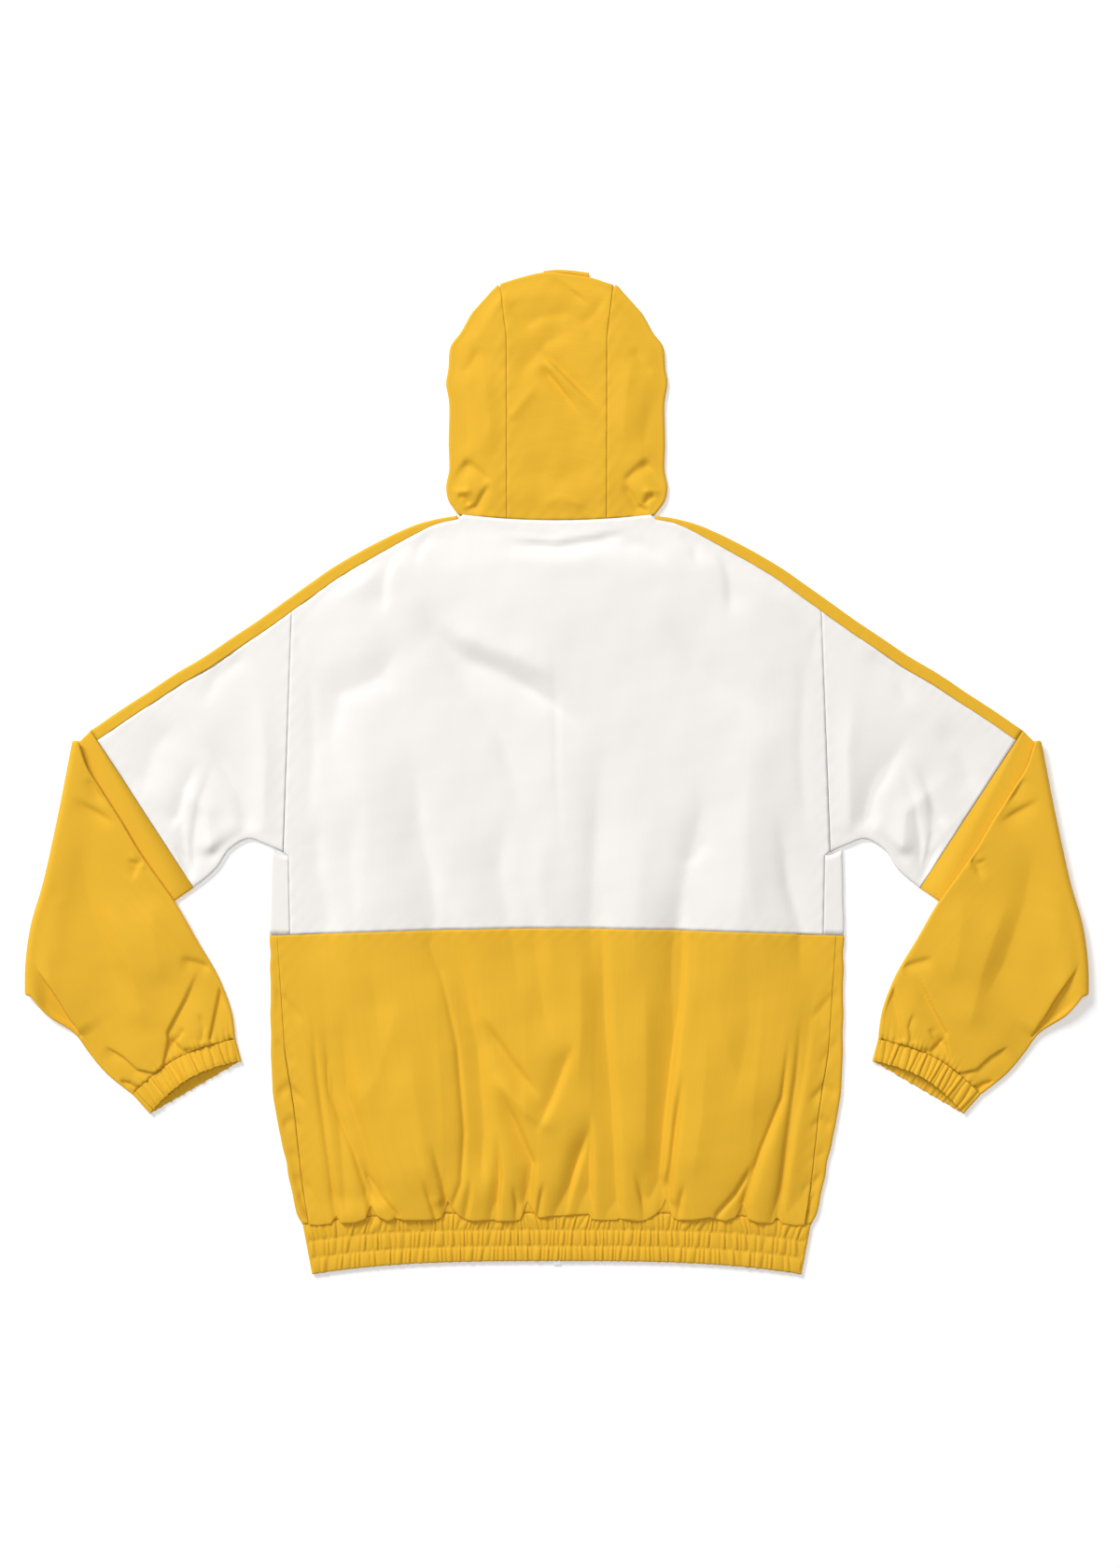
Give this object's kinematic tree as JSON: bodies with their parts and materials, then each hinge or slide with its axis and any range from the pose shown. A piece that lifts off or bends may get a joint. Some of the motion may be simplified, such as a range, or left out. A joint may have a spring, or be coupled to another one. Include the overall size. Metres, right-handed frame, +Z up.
{
  "type": "hooded windbreaker jacket",
  "caption": "Light hooded windbreaker laid out face down, with colour-blocked panels, folded sleeves, a front zip and elastic hem and cuffs.",
  "frame": {"origin": "on the table, under the centre of the garment's bounding box", "axes": "+X across the garment towards the right of its back, +Y from the hem to the hood, +Z up from the table"},
  "size_m": [1.0464, 0.9908, 0.015],
  "materials": {
    "yellow_cloth": "fine matt weave",
    "white_cloth": "fine matt weave",
    "zip_tape": "ribbed tape with moulded coil",
    "zip_metal": "satin"
  },
  "bodies": {
    "garment": {"back_upper": "white_cloth", "back_lower": "yellow_cloth", "hem_band": "yellow_cloth", "hood_center": "yellow_cloth", "hood_hem": "yellow_cloth", "zip_chain": "zip_tape", "zip_slider": "zip_metal", "zip_box": "zip_metal", "front_upper_left": "white_cloth", "front_upper_right": "white_cloth", "front_lower_left": "yellow_cloth", "front_lower_right": "yellow_cloth", "shoulder_stripe_left": "yellow_cloth", "shoulder_stripe_right": "yellow_cloth", "sleeve_upper_left": "white_cloth", "sleeve_upper_right": "white_cloth", "sleeve_lower_left": "yellow_cloth", "sleeve_lower_right": "yellow_cloth", "cuff_left": "yellow_cloth", "cuff_right": "yellow_cloth", "hood_side_left": "yellow_cloth", "hood_side_right": "yellow_cloth"},
    "zip_pull": {"zip_pull": "zip_metal"}
  },
  "joints": [
    {"name": "zip_pull_hinge", "type": "hinge", "parent": "garment", "child": "zip_pull", "pos_m": [0, 0.1694, 0.00178], "axis": [1, 0, 0], "range_deg": [0, 178]}
  ]
}
